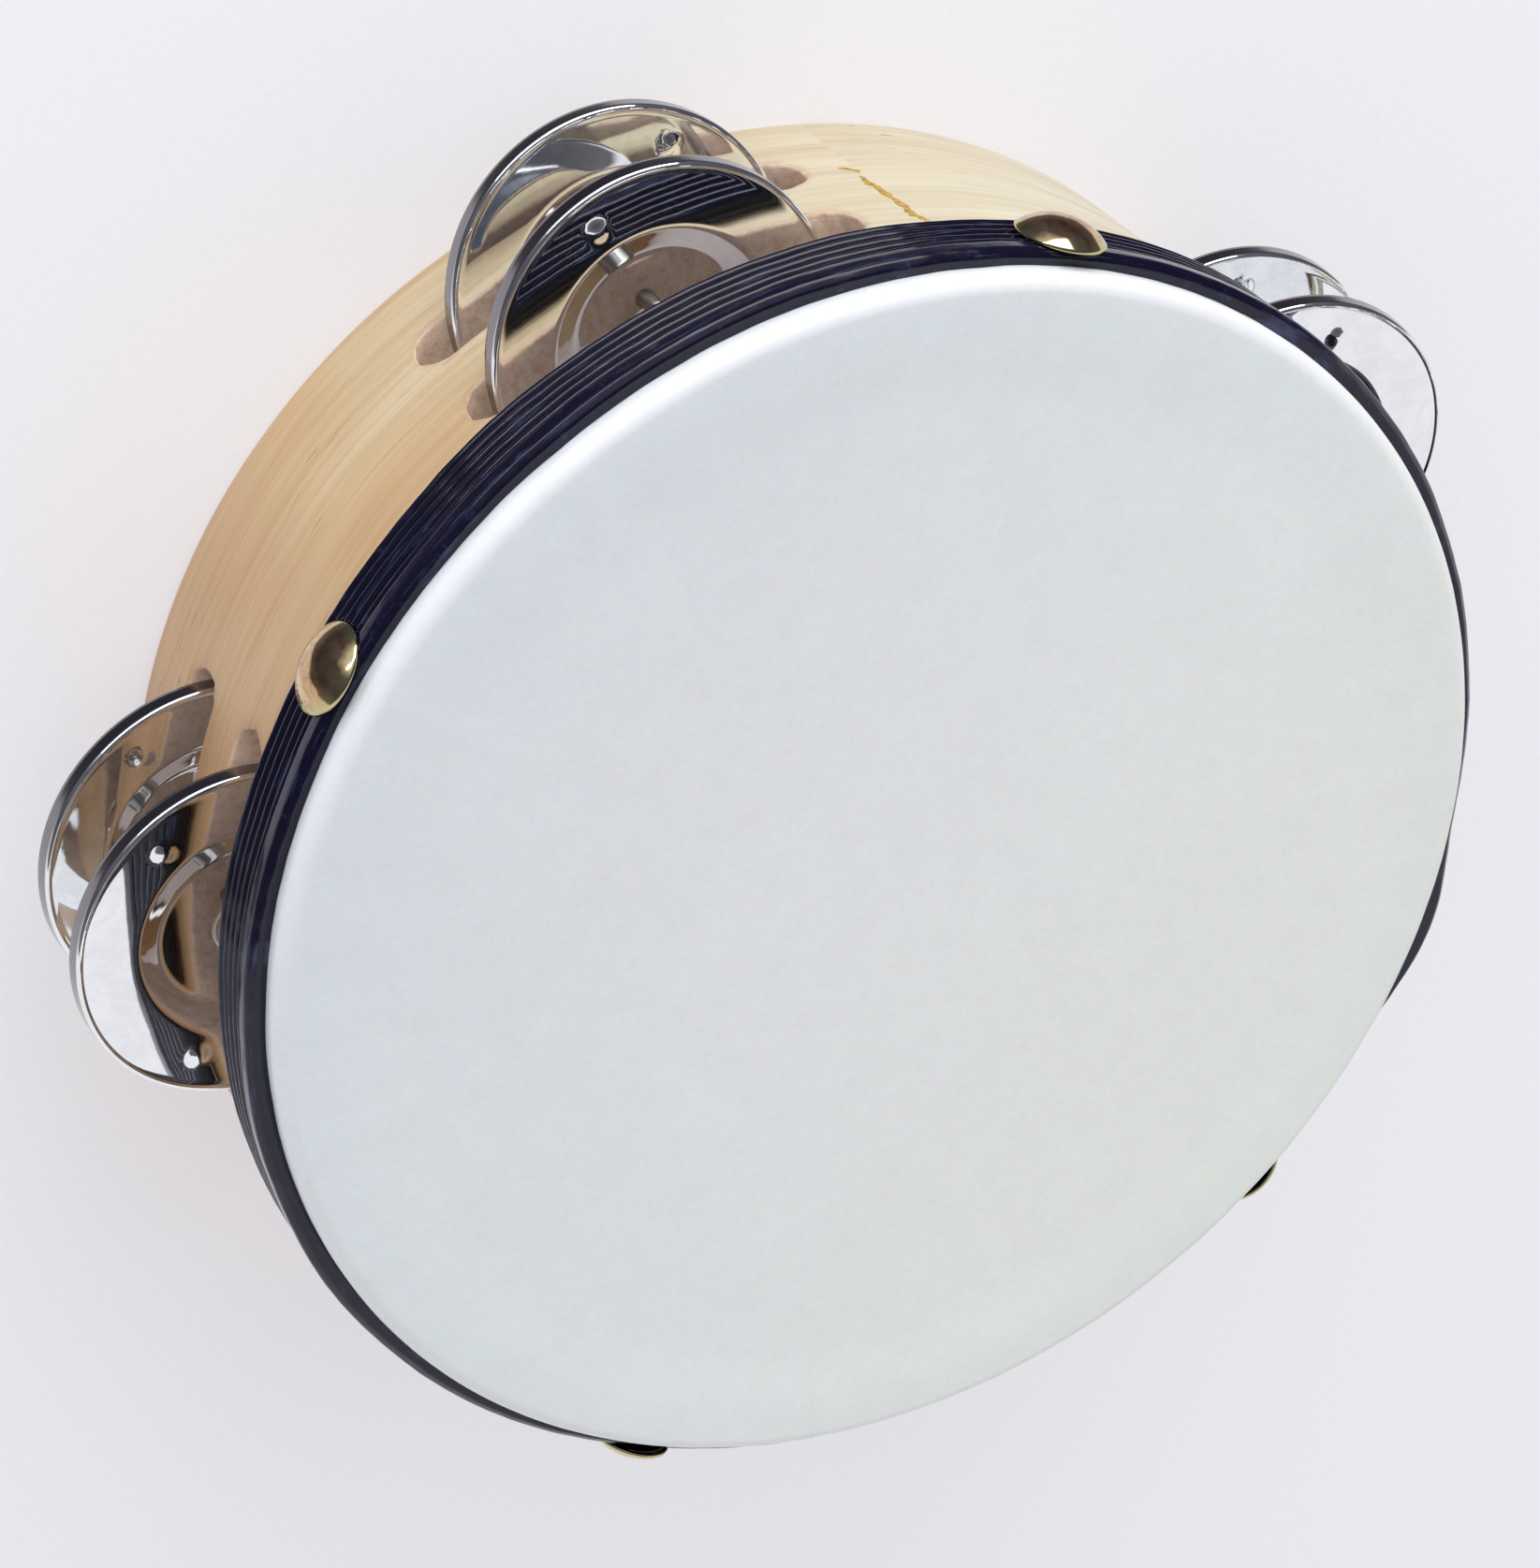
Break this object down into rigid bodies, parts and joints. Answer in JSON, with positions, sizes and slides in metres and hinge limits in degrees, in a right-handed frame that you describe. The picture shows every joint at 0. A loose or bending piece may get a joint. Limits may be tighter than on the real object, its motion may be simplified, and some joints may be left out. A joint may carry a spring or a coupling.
{
  "type": "tambourine",
  "caption": "Small round tambourine: a slotted wooden hoop with a drumhead held by a ribbed band and domed tacks, and loose metal jingles on pins.",
  "frame": {"origin": "centre of the flat open rim the tambourine rests on, on the hoop's axis", "axes": "+Z along the hoop's axis from the open rim to the drumhead; +X points at jingle station 1, seen from the drumhead"},
  "size_m": [0.1687, 0.1685, 0.0486],
  "materials": {
    "wood": "sanded pale pine, thinly varnished",
    "skin": "matt off-white drumhead",
    "band": "gloss blue-black ribbed strap",
    "tack": "polished brass dome",
    "pin": "bright steel wire",
    "jingle": "nickel-plated pressed steel"
  },
  "bodies": {
    "frame": {"wood_hoop": "wood", "head_skin": "skin", "ribbed_band": "band", "tack_1": "tack", "tack_2": "tack", "tack_3": "tack", "tack_4": "tack", "jingle_pin_1": "pin", "jingle_pin_2": "pin", "jingle_pin_3": "pin", "jingle_pin_4": "pin", "jingle_pin_5": "pin"},
    "front_disc_1": {"front_jingle_1": "jingle"},
    "rear_disc_1": {"rear_jingle_1": "jingle"},
    "front_disc_2": {"front_jingle_2": "jingle"},
    "rear_disc_2": {"rear_jingle_2": "jingle"},
    "front_disc_3": {"front_jingle_3": "jingle"},
    "rear_disc_3": {"rear_jingle_3": "jingle"},
    "front_disc_4": {"front_jingle_4": "jingle"},
    "rear_disc_4": {"rear_jingle_4": "jingle"},
    "front_disc_5": {"front_jingle_5": "jingle"},
    "rear_disc_5": {"rear_jingle_5": "jingle"}
  },
  "joints": [
    {"name": "front_jingle_1_slide", "type": "slide", "parent": "frame", "child": "front_disc_1", "axis": [0, 0, 1], "range_m": [-0.0001, 0.0027]},
    {"name": "rear_jingle_1_slide", "type": "slide", "parent": "frame", "child": "rear_disc_1", "axis": [0, 0, 1], "range_m": [-0.0001, 0.0027]},
    {"name": "front_jingle_2_slide", "type": "slide", "parent": "frame", "child": "front_disc_2", "axis": [0, 0, 1], "range_m": [-0.0017, 0.0011]},
    {"name": "rear_jingle_2_slide", "type": "slide", "parent": "frame", "child": "rear_disc_2", "axis": [0, 0, 1], "range_m": [-0.0015, 0.0013]},
    {"name": "front_jingle_3_slide", "type": "slide", "parent": "frame", "child": "front_disc_3", "axis": [0, 0, 1], "range_m": [-0.0011, 0.0017]},
    {"name": "rear_jingle_3_slide", "type": "slide", "parent": "frame", "child": "rear_disc_3", "axis": [0, 0, 1], "range_m": [-0.0015, 0.0013]},
    {"name": "front_jingle_4_slide", "type": "slide", "parent": "frame", "child": "front_disc_4", "axis": [0, 0, 1], "range_m": [-0.0007, 0.0021]},
    {"name": "rear_jingle_4_slide", "type": "slide", "parent": "frame", "child": "rear_disc_4", "axis": [0, 0, 1], "range_m": [-0.0001, 0.0027]},
    {"name": "front_jingle_5_slide", "type": "slide", "parent": "frame", "child": "front_disc_5", "axis": [0, 0, 1], "range_m": [-0.0001, 0.0027]},
    {"name": "rear_jingle_5_slide", "type": "slide", "parent": "frame", "child": "rear_disc_5", "axis": [0, 0, 1], "range_m": [-0.0001, 0.0027]}
  ]
}
